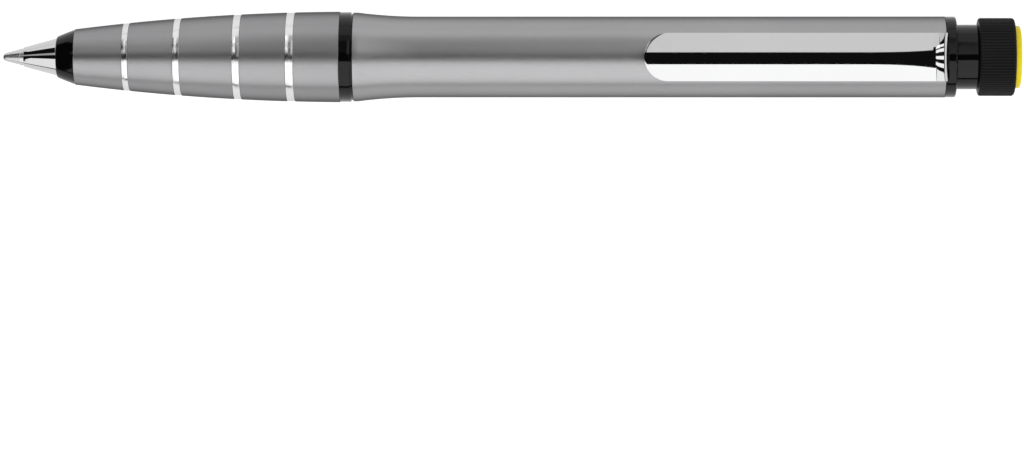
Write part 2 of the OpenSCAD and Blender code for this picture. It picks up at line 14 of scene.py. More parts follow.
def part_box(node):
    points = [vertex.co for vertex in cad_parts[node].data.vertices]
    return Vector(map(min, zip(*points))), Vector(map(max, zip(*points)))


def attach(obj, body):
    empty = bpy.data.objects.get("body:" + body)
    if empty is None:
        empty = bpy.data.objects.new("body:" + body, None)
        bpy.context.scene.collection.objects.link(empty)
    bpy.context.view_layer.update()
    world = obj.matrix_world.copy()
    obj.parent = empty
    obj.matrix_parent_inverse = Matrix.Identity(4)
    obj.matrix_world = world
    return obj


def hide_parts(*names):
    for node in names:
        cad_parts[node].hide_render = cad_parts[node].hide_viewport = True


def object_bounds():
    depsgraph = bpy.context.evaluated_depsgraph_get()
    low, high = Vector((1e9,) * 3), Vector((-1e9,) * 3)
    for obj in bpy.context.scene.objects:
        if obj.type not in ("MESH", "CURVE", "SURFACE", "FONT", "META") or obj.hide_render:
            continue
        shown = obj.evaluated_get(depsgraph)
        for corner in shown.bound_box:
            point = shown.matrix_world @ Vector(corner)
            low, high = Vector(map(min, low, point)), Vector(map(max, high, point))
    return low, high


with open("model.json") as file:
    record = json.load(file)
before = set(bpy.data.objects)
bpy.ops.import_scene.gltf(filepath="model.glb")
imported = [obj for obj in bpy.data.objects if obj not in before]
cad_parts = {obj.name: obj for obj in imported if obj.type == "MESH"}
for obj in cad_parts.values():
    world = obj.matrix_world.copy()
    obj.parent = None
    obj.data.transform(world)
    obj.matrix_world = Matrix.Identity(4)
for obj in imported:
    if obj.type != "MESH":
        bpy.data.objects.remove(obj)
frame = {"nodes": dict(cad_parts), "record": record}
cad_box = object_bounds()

MM = 0.001
ROUND_SIDES = 192
SMALL_SIDES = 96
SHARP_DEG = 32
NORMALS_WEIGHT = 100


def front(node):
    """Front end of a CAD node along the pen."""
    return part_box(node)[0].x / MM


def rear(node):
    """Rear end of a CAD node along the pen."""
    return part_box(node)[1].x / MM


def radius(node):
    """Largest radius of a CAD node about the pen's axis."""
    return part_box(node)[1].y / MM


# Places and sizes that come from the frame
POINT_X = front("writing_ball")
NOSE_X = front("nose_tip")
CONE_X = front("nose_cone")
GRIP_X = front("grip_sleeve")
JOINT_X = front("joint_ring")
BARREL_X = front("barrel")
COLLAR_X = rear("barrel")
KNOB_X = rear("neck_tube")
KNOB_END_X = rear("knob")
PEN_END_X = rear("end_insert")
CLIP_X = front("clip")
LEG_X = rear("clip")
CLIP_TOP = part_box("clip")[1].z / MM
BARREL_R = radius("guide_sleeve")
FLARE_R = radius("barrel")
KNOB_R = radius("knob")
CAP_R = radius("end_insert")

# Sizes that several pieces share
CORE_R = 4.2
BARREL_BORE_R = 4.75
GRIP_BORE_R = 2.95
GRIP_FRONT_R = 3.62
GRIP_FACE_X = GRIP_X + 0.12
SMALL_EDGE = 0.05
BROAD_EDGE = 0.07
END_BREAK_LENGTH = 0.07
END_BREAK_DEPTH = 0.06


# Mesh helpers

def smooth(obj, sharp_deg, weighted=True):
    """Smooth shading that keeps the edges sharper than sharp_deg."""
    for face in obj.data.polygons:
        face.use_smooth = True
    obj.data.set_sharp_from_angle(angle=math.radians(sharp_deg))
    if weighted:
        modifier = obj.modifiers.new("normals", "WEIGHTED_NORMAL")
        modifier.keep_sharp = True
        modifier.weight = NORMALS_WEIGHT


def finish_mesh(name, bm, sharp_deg=SHARP_DEG, weighted=True):
    """New object in the scene from the finished bmesh."""
    bmesh.ops.recalc_face_normals(bm, faces=bm.faces)
    mesh = bpy.data.meshes.new(name)
    bm.to_mesh(mesh)
    bm.free()
    obj = bpy.data.objects.new(name, mesh)
    bpy.context.scene.collection.objects.link(obj)
    smooth(obj, sharp_deg, weighted)
    return obj


def dress(obj, body, node, slot):
    """obj rides on body, stands for the CAD node and takes the slot's finish."""
    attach(obj, body)
    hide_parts(node)
    obj.data.materials.append(SLOTS[slot])


def rounded(outline, radii, steps=5):
    """The closed outline with its corners rounded. radii is {corner index: radius}."""
    out = []
    for i, corner in enumerate(outline):
        if i not in radii:
            out.append(corner)
            continue
        p = Vector(corner)
        a = Vector(outline[i - 1]) - p
        b = Vector(outline[(i + 1) % len(outline)]) - p
        half = a.angle(b) / 2
        reach = min(radii[i] / math.tan(half), 0.49 * a.length, 0.49 * b.length)
        a.normalize()
        b.normalize()
        centre = p + (a + b).normalized() * reach / math.cos(half)
        start = p + a * reach - centre
        turn = start.angle_signed(p + b * reach - centre)
        for k in range(steps + 1):
            spoke = start.copy()
            spoke.rotate(Matrix.Rotation(-turn * k / steps, 2))
            out.append(tuple(centre + spoke))
    return out


def turned_rings(bm, outline, sides, lift=None):
    """Rings of vertices for an outline of (x, r). lift(i, k) adds to the radius of ring i at side k."""
    rings = []
    for i, (x, r) in enumerate(outline):
        if r < 1e-6:
            rings.append([bm.verts.new((x * MM, 0, 0))])
            continue
        ring = []
        for k in range(sides):
            a = 2 * math.pi * k / sides
            q = (r + (lift(i, k) if lift else 0)) * MM
            ring.append(bm.verts.new((x * MM, q * math.sin(a), q * math.cos(a))))
        rings.append(ring)
    return rings


def join_rings(bm, a, b):
    """Faces between two neighbouring rings, either of which may be a single vertex."""
    if len(a) == 1 and len(b) == 1:
        return
    sides = max(len(a), len(b))
    for k in range(sides):
        m = (k + 1) % sides
        if len(a) == 1:
            bm.faces.new((a[0], b[k], b[m]))
        elif len(b) == 1:
            bm.faces.new((a[k], b[0], a[m]))
        else:
            bm.faces.new((a[k], b[k], b[m], a[m]))


def lathe(name, outline, sides=ROUND_SIDES, lift=None, **shading):
    """Closed solid of revolution. outline holds (x, r) round the section."""
    bm = bmesh.new()
    rings = turned_rings(bm, outline, sides, lift)
    for i in range(len(rings)):
        join_rings(bm, rings[i - 1], rings[i])
    return finish_mesh(name, bm, **shading)


def bulged(x0, r0, x1, r1, bulge, steps):
    """Tapered line with an outward bulge, as (x, r)."""
    points = []
    for i in range(steps + 1):
        t = i / steps
        points.append((x0 + (x1 - x0) * t, r0 + (r1 - r0) * t + bulge * 4 * t * (1 - t)))
    return points


# Materials

NOISE_LOW, NOISE_HIGH = 0.3, 0.7
WIDE_SCALE, WIDE_DETAIL = 60, 3
BUMP_STRENGTH = 0.5


def new_material(name):
    material = bpy.data.materials.new(name)
    material.use_nodes = True
    return material, material.node_tree, material.node_tree.nodes["Principled BSDF"]


def coords(nt, scale=(1, 1, 1)):
    """Object coordinates, stretched by scale."""
    place = nt.nodes.new("ShaderNodeTexCoord")
    stretch = nt.nodes.new("ShaderNodeMapping")
    stretch.inputs["Scale"].default_value = scale
    nt.links.new(place.outputs["Object"], stretch.inputs["Vector"])
    return stretch.outputs["Vector"]


def noise(nt, vector, scale, detail=4.0):
    node = nt.nodes.new("ShaderNodeTexNoise")
    node.inputs["Scale"].default_value = scale
    node.inputs["Detail"].default_value = detail
    nt.links.new(vector, node.inputs["Vector"])
    return node.outputs["Fac"]


def spread(nt, value, low, high):
    """The middle range of a noise value, stretched from low to high."""
    node = nt.nodes.new("ShaderNodeMapRange")
    node.inputs["From Min"].default_value = NOISE_LOW
    node.inputs["From Max"].default_value = NOISE_HIGH
    node.inputs["To Min"].default_value = low
    node.inputs["To Max"].default_value = high
    nt.links.new(value, node.inputs["Value"])
    return node.outputs["Result"]


def bump(nt, bsdf, value, depth):
    """Relief of the given depth."""
    node = nt.nodes.new("ShaderNodeBump")
    node.inputs["Strength"].default_value = BUMP_STRENGTH
    node.inputs["Distance"].default_value = depth * MM
    nt.links.new(value, node.inputs["Height"])
    nt.links.new(node.outputs["Normal"], bsdf.inputs["Normal"])


def finish_surface(nt, bsdf, colour, rough, vary, tone, fine, depth):
    """Base colour and roughness that vary with two noises, and the relief of the fine one."""
    wide = noise(nt, coords(nt), WIDE_SCALE, WIDE_DETAIL)
    mix = nt.nodes.new("ShaderNodeMix")
    mix.data_type = "RGBA"
    mix.inputs["A"].default_value = (*[c * (1 - tone) for c in colour], 1)
    mix.inputs["B"].default_value = (*[c * (1 + tone) for c in colour], 1)
    nt.links.new(spread(nt, wide, 0, 1), mix.inputs["Factor"])
    nt.links.new(mix.outputs["Result"], bsdf.inputs["Base Color"])
    nt.links.new(spread(nt, fine, max(rough - vary, 0), rough + vary), bsdf.inputs["Roughness"])
    if depth:
        bump(nt, bsdf, fine, depth)


def metal(name, colour, rough, edge=1.0, stretch=(1, 1, 1), scale=900, depth=0.0, vary=0.04, tone=0.03):
    """Metal with a fine grain. edge is its tint at a glancing angle."""
    material, nt, bsdf = new_material(name)
    bsdf.inputs["Metallic"].default_value = 1
    bsdf.inputs["Specular Tint"].default_value = (edge, edge, edge, 1)
    fine = noise(nt, coords(nt, stretch), scale)
    finish_surface(nt, bsdf, colour, rough, vary, tone, fine, depth)
    return material


def plastic(name, colour, rough, level=0.5, scale=1200, depth=0.004, vary=0.05, tone=0.08):
    """Moulded plastic with a fine skin. level is its specular level."""
    material, nt, bsdf = new_material(name)
    bsdf.inputs["Specular IOR Level"].default_value = level
    fine = noise(nt, coords(nt), scale)
    finish_surface(nt, bsdf, colour, rough, vary, tone, fine, depth)
    return material


TURNED = (1, 0.06, 0.06)
SATIN = {"edge": 0.22, "scale": 3000, "depth": 0.0008}
MACHINED = {"rough": 0.22, "edge": 0.8, "stretch": TURNED, "scale": 2000, "depth": 0.004}
BLACK_GLOSS = {"colour": (0.002, 0.002, 0.0022), "rough": 0.08, "level": 0.21, "depth": 0.001,
               "vary": 0.02}

METALS = {
    "bright_chrome": {"colour": (0.49, 0.49, 0.495), "rough": 0.035, "vary": 0.02, "tone": 0.015},
    "polished_ring": {"colour": (0.62, 0.62, 0.62), "rough": 0.2, "edge": 0.8, "scale": 1400,
                      "depth": 0.02, "vary": 0.08},
    "satin_grip": {"colour": (0.265, 0.265, 0.27), "rough": 0.34, **SATIN},
    "satin_barrel": {"colour": (0.305, 0.305, 0.31), "rough": 0.33, **SATIN},
    "refill_metal": {"colour": (0.52, 0.52, 0.515), "rough": 0.26, "edge": 0.8, "stretch": TURNED,
                     "scale": 2500, "depth": 0.0005, "vary": 0.01},
    "hard_metal": {"colour": (0.36, 0.36, 0.37), "rough": 0.08},
    "brass": {"colour": (0.6, 0.42, 0.16), **MACHINED},
    "steel": {"colour": (0.5, 0.5, 0.51), **MACHINED},
}
PLASTICS = {
    "gloss_black": BLACK_GLOSS,
    "gloss_black_neck": BLACK_GLOSS,
    "matte_black": {"colour": (0.006, 0.006, 0.0063), "rough": 0.45, "level": 0.12, "scale": 900,
                    "depth": 0.01},
    "yellow": {"colour": (0.93, 0.74, 0.012), "rough": 0.4, "level": 0.2, "depth": 0.003, "tone": 0.04},
    "ink": {"colour": (0.004, 0.004, 0.03), "rough": 0.15},
    "white_plastic": {"colour": (0.75, 0.74, 0.7), "rough": 0.45},
    "rubber": {"colour": (0.02, 0.02, 0.02), "rough": 0.7, "level": 0.3},
}
SLOTS = {name: metal(name, **finish) for name, finish in METALS.items()}
SLOTS |= {name: plastic(name, **finish) for name, finish in PLASTICS.items()}
for part in frame["record"]["subparts"]:
    for material_slot in frame["nodes"][part["node"]].material_slots:
        material_slot.material = SLOTS[part["material_slot"]]


# Writing point: cone with a turned shoulder, shank and spigot. Each x is from the ball's front.

SEAT_X, SEAT_R, LIP_R = 0.32, 0.3, 0.52
LIP_END_X, LIP_END_R = 0.5, 0.575
TAPER_END_X, TAPER_END_R = 2.25, 1.02
SHOULDER_X, SHOULDER_R = 2.3, 1.08
SHOULDER_END_X, SHOULDER_END_R = 2.7, 1.13
SHANK_X, SHANK_R = 2.9, 1.175
SPIGOT_X, SPIGOT_R = 7.5, 0.975
SPIGOT_END_X = 9.5
CHANNEL_X, CHANNEL_R = 1.1, 0.25
SEAT_END_X = 0.9
POINT_EDGE = 0.03

point_line = [
    (SEAT_X, SEAT_R), (SEAT_X, LIP_R), (LIP_END_X, LIP_END_R), (TAPER_END_X, TAPER_END_R),
    (SHOULDER_X, SHOULDER_R), (SHOULDER_END_X, SHOULDER_END_R), (SHANK_X, SHANK_R), (SPIGOT_X, SHANK_R),
    (SPIGOT_X, SPIGOT_R), (SPIGOT_END_X, SPIGOT_R), (SPIGOT_END_X, CHANNEL_R), (CHANNEL_X, CHANNEL_R),
    (SEAT_END_X, SEAT_R)]
point_line = [(POINT_X + x, r) for x, r in point_line]
point_edges = {1: POINT_EDGE, 4: POINT_EDGE, 7: SMALL_EDGE}
writing_point = lathe("writing_point", rounded(point_line, point_edges), SMALL_SIDES)
dress(writing_point, "refill", "refill_tip", "refill_metal")


# Chrome nose and black cone, each with the spigot behind it

NOSE_FRONT_R = 1.3
NOSE_REAR_R = 2.48
NOSE_BORE_R = 1.225
NOSE_SPIGOT_R = 2.3
SPRING_ROOM_R = 1.8
SPRING_SEAT_X = NOSE_X + 3
NOSE_END_X = rear("nose_tip")
nose_line = [
    (NOSE_X, NOSE_BORE_R), (NOSE_X, NOSE_FRONT_R), (CONE_X, NOSE_REAR_R), (CONE_X, NOSE_SPIGOT_R),
    (NOSE_END_X, NOSE_SPIGOT_R), (NOSE_END_X, SPRING_ROOM_R), (SPRING_SEAT_X, SPRING_ROOM_R),
    (SPRING_SEAT_X, NOSE_BORE_R)]
nose = lathe("nose_shell", rounded(nose_line, {1: SMALL_EDGE, 2: BROAD_EDGE}))
dress(nose, "pen_body", "nose_tip", "bright_chrome")

CONE_FRONT_R = 2.68
CONE_REAR_R = GRIP_FRONT_R - 0.01
CONE_BULGE = 0.03
CONE_STEPS = 12
CONE_EDGE = 0.13
CONE_END_X = rear("nose_cone")
cone_line = [(CONE_END_X, NOSE_SPIGOT_R), (CONE_X, NOSE_SPIGOT_R)]
cone_line += bulged(CONE_X, CONE_FRONT_R, GRIP_FACE_X, CONE_REAR_R, CONE_BULGE, CONE_STEPS)
cone_line += [(GRIP_FACE_X, GRIP_BORE_R), (CONE_END_X, GRIP_BORE_R)]
cone = lathe("black_cone", rounded(cone_line, {2: CONE_EDGE}))
dress(cone, "pen_body", "nose_cone", "gloss_black")


# Grip with four grooves, whose edges are slightly broken, and their polished rings

GRIP_REAR_R = 5.88
GRIP_BULGE = 0.53
GRIP_STEPS = 60
NARROW_BORE_X = GRIP_X + 12
GROOVE_DEPTH = 0.33
BREAK = 0.04
CLEAR_BEHIND, CLEAR_AHEAD = 0.1, 0.15
RING_SINK = 0.03
RING_CROWN = 0.02
RING_CROWN_ROUND = 1.5


def grip_r(x):
    t = (x - GRIP_FACE_X) / (JOINT_X - GRIP_FACE_X)
    return GRIP_FRONT_R + (GRIP_REAR_R - GRIP_FRONT_R) * t + GRIP_BULGE * 4 * t * (1 - t)


grip_line = [(GRIP_FACE_X, GRIP_BORE_R), (GRIP_FACE_X, GRIP_FRONT_R)]
grip_stops = [GRIP_FACE_X + (JOINT_X - GRIP_FACE_X) * i / GRIP_STEPS for i in range(1, GRIP_STEPS)]


def follow_grip(until):
    """Adds the grip's outline up to x = until, without crowding the corners at its ends."""
    reached = grip_line[-1][0] + CLEAR_BEHIND
    for x in grip_stops:
        if reached < x < until - CLEAR_AHEAD:
            grip_line.append((x, grip_r(x)))


for number in range(1, 5):
    a, b = front(f"grip_ring_{number}"), rear(f"grip_ring_{number}")
    middle = (a + b) / 2
    floor_r = grip_r(middle) - GROOVE_DEPTH
    follow_grip(a)
    grip_line += [(a - BREAK, grip_r(a)), (a, grip_r(a) - BREAK), (a, floor_r)]
    grip_line += [(b, floor_r), (b, grip_r(b) - BREAK), (b + BREAK, grip_r(b))]
    band_line = [
        (a, floor_r), (a, grip_r(a) - RING_SINK), (middle, grip_r(middle) - RING_SINK + RING_CROWN),
        (b, grip_r(b) - RING_SINK), (b, floor_r)]
    band_edges = {1: SMALL_EDGE, 2: RING_CROWN_ROUND, 3: SMALL_EDGE}
    band = lathe(f"grip_band_{number}", rounded(band_line, band_edges))
    dress(band, "pen_body", f"grip_ring_{number}", "polished_ring")
follow_grip(JOINT_X)
grip_line += [(JOINT_X - END_BREAK_LENGTH, GRIP_REAR_R), (JOINT_X, GRIP_REAR_R - END_BREAK_DEPTH)]
grip_line += [(JOINT_X, CORE_R), (NARROW_BORE_X, CORE_R), (NARROW_BORE_X, GRIP_BORE_R)]
dress(lathe("grip_shell", grip_line), "pen_body", "grip_sleeve", "satin_grip")


# Black ring between grip and barrel, with a narrow groove at the barrel

JOINT_R = 5.84
JOINT_GROOVE_R = JOINT_R - 0.2
JOINT_GROOVE_X = BARREL_X - 0.25
joint_line = [
    (JOINT_X, CORE_R), (JOINT_X, JOINT_R), (JOINT_GROOVE_X, JOINT_R), (JOINT_GROOVE_X, JOINT_GROOVE_R),
    (BARREL_X, JOINT_GROOVE_R), (BARREL_X, CORE_R)]
joint = lathe("joint_band", rounded(joint_line, {1: BROAD_EDGE, 2: BROAD_EDGE}))
dress(joint, "pen_body", "joint_ring", "gloss_black")


# Barrel: flared front, straight tube and the clip's notch at the top of its rear end

LIP_LENGTH = 0.6
LIP_BREAK_LENGTH, LIP_BREAK_DEPTH = 0.08, 0.09
FLARE_LENGTH = 8
FLARE_STEPS = 32
TUBE_STEPS = 24
NOTCH_LENGTH = 0.75
NOTCH_WIDTH = 4.3
NOTCH_LOW, NOTCH_HIGH = 4, 8


def barrel_outline():
    flare_x = BARREL_X + LIP_LENGTH
    tube_x = flare_x + FLARE_LENGTH
    line = [(BARREL_X, BARREL_BORE_R), (BARREL_X, FLARE_R - LIP_BREAK_DEPTH)]
    line.append((BARREL_X + LIP_BREAK_LENGTH, FLARE_R))
    for i in range(FLARE_STEPS + 1):
        t = i / FLARE_STEPS
        line.append((flare_x + FLARE_LENGTH * t, BARREL_R + (FLARE_R - BARREL_R) * (1 - t) ** 2))
    for i in range(1, TUBE_STEPS):
        line.append((tube_x + (COLLAR_X - tube_x) * i / TUBE_STEPS, BARREL_R))
    line += [(COLLAR_X - END_BREAK_LENGTH, BARREL_R), (COLLAR_X, BARREL_R - END_BREAK_DEPTH)]
    return line + [(COLLAR_X, BARREL_BORE_R)]


def barrel_mesh():
    """The turned barrel with the notch cut out of it."""
    obj = lathe("barrel_shell", barrel_outline(), weighted=False)
    cut = bmesh.new()
    bmesh.ops.create_cube(cut, size=MM)
    size = (2 * NOTCH_LENGTH, NOTCH_WIDTH, NOTCH_HIGH - NOTCH_LOW)
    bmesh.ops.scale(cut, verts=cut.verts, vec=size)
    bmesh.ops.translate(cut, verts=cut.verts, vec=(COLLAR_X * MM, 0, (NOTCH_LOW + NOTCH_HIGH) / 2 * MM))
    cutter = finish_mesh("notch_cutter", cut, weighted=False)
    modifier = obj.modifiers.new("notch", "BOOLEAN")
    modifier.operation = "DIFFERENCE"
    modifier.object = cutter
    modifier.solver = "EXACT"
    bpy.context.view_layer.update()
    graph = bpy.context.evaluated_depsgraph_get()
    mesh = bpy.data.meshes.new_from_object(obj.evaluated_get(graph))
    obj.modifiers.clear()
    obj.data = mesh
    bpy.data.objects.remove(cutter)
    smooth(obj, SHARP_DEG)
    return obj


dress(barrel_mesh(), "pen_body", "barrel", "satin_barrel")


# Neck tube and yellow end cap

NECK_R = 4.2
NECK_BORE_R = 3.4
NECK_EDGE = 0.1
neck_front = front("neck_tube")
neck_line = [(neck_front, NECK_BORE_R), (neck_front, NECK_R), (KNOB_X, NECK_R), (KNOB_X, NECK_BORE_R)]
neck = lathe("neck_shell", rounded(neck_line, {1: NECK_EDGE, 2: NECK_EDGE}))
dress(neck, "neck", "neck_tube", "gloss_black_neck")

CAP_DOME = 0.16
CAP_ROUND = 0.28
CAP_STEPS = 8
cap_front = front("end_insert")
cap_line = [(cap_front, 0), (cap_front, CAP_R)]
for i in range(CAP_STEPS, -1, -1):
    cap_line.append((PEN_END_X - CAP_DOME * (i / CAP_STEPS) ** 2, CAP_R * i / CAP_STEPS))
cap = lathe("end_cap", rounded(cap_line, {1: SMALL_EDGE, 2: CAP_ROUND}, CAP_STEPS))
dress(cap, "knob", "end_insert", "yellow")


# Knob with its straight knurl: rounded ribs with narrow valleys

RIBS = 80
STEPS_PER_RIB = 8
KNURL_DEPTH = 0.12
KNURL_NARROWING = 1.6
KNURL_RUN_IN = {0: 0.2, 1: 0.5, 2: 0.8}
KNOB_GAP = 0.15
KNOB_FRONT_ROUND, KNOB_FRONT_STEPS = 0.3, 6
KNOB_REAR_ROUND, KNOB_REAR_STEPS = 0.4, 8
KNOB_SIDE_STEPS = 6
KNOB_SHARP_DEG = 50
HUB_R = 3.35
CAP_POCKET = 1.3


def quarter(x, r, size, start, steps):
    """Quarter round of an outline about (x, r), from the angle start, in degrees."""
    points = []
    for i in range(steps + 1):
        a = math.radians(start - 90 * i / steps)
        points.append((x + size * math.cos(a), r + size * math.sin(a)))
    return points


def knob_mesh():
    x0, x1 = KNOB_X + KNOB_GAP, KNOB_END_X
    side_x0 = x0 + KNOB_FRONT_ROUND
    side_x1 = x1 - KNOB_REAR_ROUND
    side = quarter(side_x0, KNOB_R - KNOB_FRONT_ROUND, KNOB_FRONT_ROUND, 180, KNOB_FRONT_STEPS)
    for i in range(1, KNOB_SIDE_STEPS):
        side.append((side_x0 + (side_x1 - side_x0) * i / KNOB_SIDE_STEPS, KNOB_R))
    side += quarter(side_x1, KNOB_R - KNOB_REAR_ROUND, KNOB_REAR_ROUND, 90, KNOB_REAR_STEPS)
    hub = [(front("knob"), 0), (front("knob"), HUB_R), (x0, HUB_R)]
    pocket = [(x1, CAP_R), (x1 - CAP_POCKET, CAP_R), (x1 - CAP_POCKET, 0)]

    def knurl(i, k):
        """Depth of the valleys, which run in over the first and last rings of the side."""
        place = i - len(hub)
        if not 0 <= place < len(side):
            return 0
        share = min(KNURL_RUN_IN.get(place, 1), KNURL_RUN_IN.get(len(side) - 1 - place, 1))
        wave = 0.5 + 0.5 * math.cos(2 * math.pi * (k % STEPS_PER_RIB) / STEPS_PER_RIB)
        return -KNURL_DEPTH * share * wave ** KNURL_NARROWING

    return lathe("knurled_knob", hub + side + pocket, RIBS * STEPS_PER_RIB, knurl, sharp_deg=KNOB_SHARP_DEG)


dress(knob_mesh(), "knob", "knob", "matte_black")


# Clip: a crowned sheet with a round free end, an easy bend and a tapering leg that flattens out

SHEET = 0.45
HALF_WIDTH = 3.1
CROWN_R = 9.4
BEND_LENGTH = 2.1
BEND_HEIGHT = 2.2
FOOT_DEPTH = 0.8
LEG_HALF_WIDTH = 2.0
TIP_ROLL = 0.03
TIP_ROLL_WIDTH = 0.15
CROWN_KEPT = 0.3
BEND_CROWN = 0.65
EASE_LENGTH = 8.5
EDGE_ROUND = 0.09
EDGE_STEPS = 3
EDGE_DEG = 50
CLIP_SHARP_DEG = 40
ACROSS = 24
ROUND_STEPS = 28
TIP_START = 0.15
PLATE_STEPS = 24
PLATE_CROWDING = 1.5
BEND_STEPS = 24
LEG_STEPS = 8


def clip_path():
    """Middle line of the clip, as (x, z, slope, half width, share of the crown)."""
    path = []
    round_x = CLIP_X + HALF_WIDTH
    bend_x = LEG_X - BEND_LENGTH
    leg_top = CLIP_TOP - BEND_HEIGHT
    foot = BARREL_R - FOOT_DEPTH
    for i in range(ROUND_STEPS + 1):
        a = math.pi / 2 * max(i, TIP_START) / ROUND_STEPS
        path.append((round_x - HALF_WIDTH * math.cos(a), CLIP_TOP, 0, HALF_WIDTH * math.sin(a), 1))
    for i in range(1, PLATE_STEPS + 1):
        x = bend_x - (bend_x - round_x) * (1 - i / PLATE_STEPS) ** PLATE_CROWDING
        near = max(0, 1 - (bend_x - x) / EASE_LENGTH)
        path.append((x, CLIP_TOP, 0, HALF_WIDTH, 1 - (1 - BEND_CROWN) * near ** 2))
    for i in range(1, BEND_STEPS + 1):
        t = i / BEND_STEPS
        a = math.pi / 2 * t
        slope = math.atan2(BEND_HEIGHT * math.sin(a), BEND_LENGTH * math.cos(a))
        fade = max(0, (t - CROWN_KEPT) / (1 - CROWN_KEPT))
        crown = BEND_CROWN * (1 - fade * fade * (3 - 2 * fade))
        x = bend_x + BEND_LENGTH * math.sin(a)
        z = leg_top + BEND_HEIGHT * math.cos(a)
        path.append((x, z, slope, HALF_WIDTH, crown))
    for i in range(1, LEG_STEPS + 1):
        z = leg_top + (foot - leg_top) * i / LEG_STEPS
        t = min(1, (leg_top - z) / (leg_top - BARREL_R))
        half_width = HALF_WIDTH + (LEG_HALF_WIDTH - HALF_WIDTH) * t
        path.append((LEG_X, z, math.pi / 2, half_width, 0))
    return path


def clip_drop(x, y, crown):
    """Depth of the clip's outer face under its middle line, with the free end's rim rolled down."""
    drop = (CROWN_R - math.sqrt(CROWN_R ** 2 - y ** 2)) * crown
    ahead = CLIP_X + HALF_WIDTH - x
    if ahead > 0:
        out = math.hypot(ahead, y)
        rim = max(0, 1 - (HALF_WIDTH - out) / TIP_ROLL_WIDTH)
        drop += TIP_ROLL * rim ** 2 * (ahead / out) ** 2
    return drop


def clip_mesh():
    """The bent sheet, as an outer and an inner face joined round their edges."""
    bm = bmesh.new()
    outer, inner = [], []
    for x, z, slope, half_width, crown in clip_path():
        outer_row, inner_row = [], []
        for j in range(ACROSS + 1):
            y = half_width * math.sin(math.pi / 2 * (2 * j / ACROSS - 1))
            drop = clip_drop(x, y, crown)
            for row, depth in ((outer_row, drop), (inner_row, drop + SHEET)):
                place = (x - math.sin(slope) * depth, y, z - math.cos(slope) * depth)
                row.append(bm.verts.new(Vector(place) * MM))
        outer.append(outer_row)
        inner.append(inner_row)
    for i in range(len(outer) - 1):
        for j in range(ACROSS):
            bm.faces.new((outer[i][j], outer[i][j + 1], outer[i + 1][j + 1], outer[i + 1][j]))
            bm.faces.new((inner[i][j], inner[i + 1][j], inner[i + 1][j + 1], inner[i][j + 1]))
        for j in (0, -1):
            bm.faces.new((outer[i][j], outer[i + 1][j], inner[i + 1][j], inner[i][j]))
    for i in (0, -1):
        for j in range(ACROSS):
            bm.faces.new((outer[i][j], inner[i][j], inner[i][j + 1], outer[i][j + 1]))
    obj = finish_mesh("clip_sheet", bm, CLIP_SHARP_DEG, weighted=False)
    edges = obj.modifiers.new("edges", "BEVEL")
    edges.width = EDGE_ROUND * MM
    edges.segments = EDGE_STEPS
    edges.limit_method = "ANGLE"
    edges.angle_limit = math.radians(EDGE_DEG)
    normals = obj.modifiers.new("normals", "WEIGHTED_NORMAL")
    normals.keep_sharp = True
    normals.weight = NORMALS_WEIGHT
    return obj


dress(clip_mesh(), "clip", "clip", "bright_chrome")


# Clip's ball and writing ball

BALL_SIDES, BALL_RINGS = 64, 40


def ball_mesh(name, node):
    """Round ball that fills the CAD node's box."""
    low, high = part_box(node)
    bm = bmesh.new()
    bmesh.ops.create_uvsphere(bm, u_segments=BALL_SIDES, v_segments=BALL_RINGS, radius=(high.x - low.x) / 2)
    bmesh.ops.translate(bm, verts=bm.verts, vec=(low + high) / 2)
    return finish_mesh(name, bm, weighted=False)


dress(ball_mesh("clip_bead", "clip_ball"), "clip", "clip_ball", "bright_chrome")
dress(ball_mesh("point_ball", "writing_ball"), "refill", "writing_ball", "hard_metal")


# Lamps: soft panels round the pen, and a few beyond its knob end. Places are in metres.
# A radiance of 1 is as bright as the white of the floor.

LAMP_DISTANCE = 1.2
FRONT_END, GRIP_END, CLIP_FRONT, BEND_FRONT, REAR_END = -1.1, -0.5, 0.02, 0.146, 0.6
KEY_MIDDLE, KEY_LOW, KEY_END = 50, 67, 80
SIDE_TOP, SIDE_UPPER, SIDE_MIDDLE, SIDE_LOW, SIDE_END = -11, -42, -58, -63.5, -86


def panel(name, p, q, across, width, radiance):
    """Rectangular lamp whose middle line runs from p to q, with its width in the direction across."""
    p, q, across = Vector(p), Vector(q), Vector(across)
    down = (q - p).normalized()
    middle = (p + q) / 2
    back = across.cross(down)
    if back.dot(middle) < 0:
        back = -back
        down = -down
    data = bpy.data.lights.new(name, "AREA")
    data.shape = "RECTANGLE"
    data.size = width
    data.size_y = (q - p).length
    data.energy = radiance * math.pi * data.size * data.size_y
    obj = bpy.data.objects.new(name, data)
    turn = Matrix((across, down, back)).transposed().to_4x4()
    turn.translation = middle
    obj.matrix_world = turn
    obj.visible_camera = False
    bpy.context.scene.collection.objects.link(obj)


def lamp(name, start, end, x0, x1, radiance):
    """Panel between two directions about the pen's axis, in degrees from straight up towards -Y, and between
    two places along it."""
    middle = (x0 + x1) / 2
    p, q = [(middle, -LAMP_DISTANCE * math.sin(a), LAMP_DISTANCE * math.cos(a))
            for a in (math.radians(start), math.radians(end))]
    panel(name, p, q, (1, 0, 0), x1 - x0, radiance)


